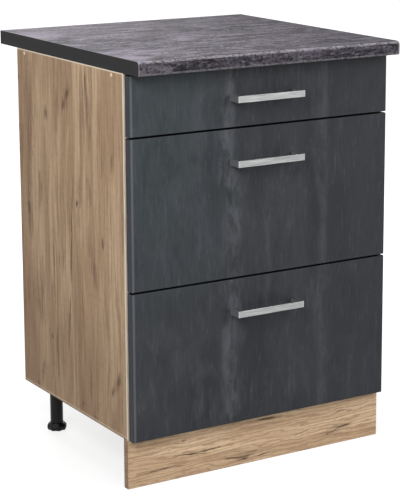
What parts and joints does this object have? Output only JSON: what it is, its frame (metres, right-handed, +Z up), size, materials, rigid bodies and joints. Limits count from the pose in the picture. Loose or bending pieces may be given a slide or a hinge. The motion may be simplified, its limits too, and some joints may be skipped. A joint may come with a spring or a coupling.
{
  "type": "base cabinet with drawers",
  "caption": "Kitchen base cabinet with rolling steel-sided drawers, slab fronts, bracket handles, oak-look carcass and plinth, screw-in feet and a stone-look postformed worktop.",
  "frame": {"origin": "on the floor under the centre of the worktop", "axes": "+Z up from the floor, -Y out of the drawer fronts, +Y to the wall, +X to the right seen from the front"},
  "size_m": [0.6, 0.6, 0.848],
  "materials": {
    "oak_board": "oak-look melamine board, grain upright",
    "oak_plinth": "oak-look melamine board, grain along its length",
    "oak_edge": "pale oak-look edge banding",
    "hardboard": "pale lacquered hardboard",
    "stone_laminate": "grey stone-look laminate, fine texture",
    "chipboard": "raw chipboard",
    "black_edge": "black edge banding",
    "black_plastic": "moulded black plastic",
    "coated_runner": "white coated steel",
    "roller_plastic": "white moulded plastic",
    "coated_steel": "pale grey coated steel",
    "drawer_board": "white-grey melamine board",
    "anthracite_front": "anthracite wood-look board, satin",
    "brushed_handle": "brushed metal",
    "beech": "plain beech",
    "zinc_steel": "zinc plated steel"
  },
  "bodies": {
    "carcass": {"back_panel": "hardboard", "back_rail": "oak_board", "bottom_panel": "oak_board", "cabinet_runner_lower_left": "coated_runner", "cabinet_runner_lower_right": "coated_runner", "cabinet_runner_middle_left": "coated_runner", "cabinet_runner_middle_right": "coated_runner", "cabinet_runner_upper_left": "coated_runner", "cabinet_runner_upper_right": "coated_runner", "cam_bolts": "zinc_steel", "cam_locks": "zinc_steel", "chipboard_screws": "zinc_steel", "edge_bands": "oak_edge", "front_rail": "oak_board", "leg_front_left": "black_plastic", "leg_front_right": "black_plastic", "leg_rear_left": "black_plastic", "leg_rear_right": "black_plastic", "plinth_clips": "black_plastic", "plinth_panel": "oak_plinth", "side_panel_left": "oak_board", "side_panel_right": "oak_board", "wood_dowels": "beech", "worktop_core": "chipboard", "worktop_end_bands": "black_edge", "worktop_laminate": "stone_laminate", "worktop_screws": "zinc_steel"},
    "drawer_lower": {"drawer_back_lower": "drawer_board", "drawer_bottom_lower": "drawer_board", "drawer_front_lower": "anthracite_front", "drawer_screws_lower": "zinc_steel", "drawer_side_lower_left": "coated_steel", "drawer_side_lower_right": "coated_steel", "gallery_rods_lower": "coated_steel", "handle_lower": "brushed_handle"},
    "front_rollers_lower": {"front_rollers_lower": "roller_plastic"},
    "rear_rollers_lower": {"rear_rollers_lower": "roller_plastic"},
    "drawer_middle": {"drawer_back_middle": "drawer_board", "drawer_bottom_middle": "drawer_board", "drawer_front_middle": "anthracite_front", "drawer_screws_middle": "zinc_steel", "drawer_side_middle_left": "coated_steel", "drawer_side_middle_right": "coated_steel", "gallery_rods_middle": "coated_steel", "handle_middle": "brushed_handle"},
    "front_rollers_middle": {"front_rollers_middle": "roller_plastic"},
    "rear_rollers_middle": {"rear_rollers_middle": "roller_plastic"},
    "drawer_upper": {"drawer_back_upper": "drawer_board", "drawer_bottom_upper": "drawer_board", "drawer_front_upper": "anthracite_front", "drawer_screws_upper": "zinc_steel", "drawer_side_upper_left": "coated_steel", "drawer_side_upper_right": "coated_steel", "handle_upper": "brushed_handle"},
    "front_rollers_upper": {"front_rollers_upper": "roller_plastic"},
    "rear_rollers_upper": {"rear_rollers_upper": "roller_plastic"},
    "foot_front_left": {"foot_front_left": "black_plastic"},
    "foot_front_right": {"foot_front_right": "black_plastic"},
    "foot_rear_left": {"foot_rear_left": "black_plastic"},
    "foot_rear_right": {"foot_rear_right": "black_plastic"}
  },
  "joints": [
    {"name": "drawer_slide_lower", "type": "slide", "parent": "carcass", "child": "drawer_lower", "axis": [0, -1, 0], "range_m": [0, 0.3]},
    {"name": "front_roller_spin_lower", "type": "hinge", "parent": "carcass", "child": "front_rollers_lower", "pos_m": [0, -0.224, 0.1335], "axis": [1, 0, 0], "range_deg": [0, 1563]},
    {"name": "rear_roller_spin_lower", "type": "hinge", "parent": "drawer_lower", "child": "rear_rollers_lower", "pos_m": [0, 0.144, 0.1309], "axis": [1, 0, 0], "range_deg": [0, 1810]},
    {"name": "drawer_slide_middle", "type": "slide", "parent": "carcass", "child": "drawer_middle", "axis": [0, -1, 0], "range_m": [0, 0.3]},
    {"name": "front_roller_spin_middle", "type": "hinge", "parent": "carcass", "child": "front_rollers_middle", "pos_m": [0, -0.224, 0.4335], "axis": [1, 0, 0], "range_deg": [0, 1563]},
    {"name": "rear_roller_spin_middle", "type": "hinge", "parent": "drawer_middle", "child": "rear_rollers_middle", "pos_m": [0, 0.144, 0.4309], "axis": [1, 0, 0], "range_deg": [0, 1810]},
    {"name": "drawer_slide_upper", "type": "slide", "parent": "carcass", "child": "drawer_upper", "axis": [0, -1, 0], "range_m": [0, 0.3]},
    {"name": "front_roller_spin_upper", "type": "hinge", "parent": "carcass", "child": "front_rollers_upper", "pos_m": [0, -0.224, 0.7255], "axis": [1, 0, 0], "range_deg": [0, 1563]},
    {"name": "rear_roller_spin_upper", "type": "hinge", "parent": "drawer_upper", "child": "rear_rollers_upper", "pos_m": [0, 0.144, 0.7229], "axis": [1, 0, 0], "range_deg": [0, 1810]},
    {"name": "foot_screw_front_left", "type": "slide", "parent": "carcass", "child": "foot_front_left", "axis": [0, 0, -1], "range_m": [0, 0.02]},
    {"name": "foot_screw_front_right", "type": "slide", "parent": "carcass", "child": "foot_front_right", "axis": [0, 0, -1], "range_m": [0, 0.02]},
    {"name": "foot_screw_rear_left", "type": "slide", "parent": "carcass", "child": "foot_rear_left", "axis": [0, 0, -1], "range_m": [0, 0.02]},
    {"name": "foot_screw_rear_right", "type": "slide", "parent": "carcass", "child": "foot_rear_right", "axis": [0, 0, -1], "range_m": [0, 0.02]}
  ],
  "couplings": [
    {"joint": "front_roller_spin_lower", "follows": "drawer_slide_lower", "rad_per_m": 90.909},
    {"joint": "rear_roller_spin_lower", "follows": "drawer_slide_lower", "rad_per_m": 105.26},
    {"joint": "front_roller_spin_middle", "follows": "drawer_slide_middle", "rad_per_m": 90.909},
    {"joint": "rear_roller_spin_middle", "follows": "drawer_slide_middle", "rad_per_m": 105.26},
    {"joint": "front_roller_spin_upper", "follows": "drawer_slide_upper", "rad_per_m": 90.909},
    {"joint": "rear_roller_spin_upper", "follows": "drawer_slide_upper", "rad_per_m": 105.26}
  ]
}
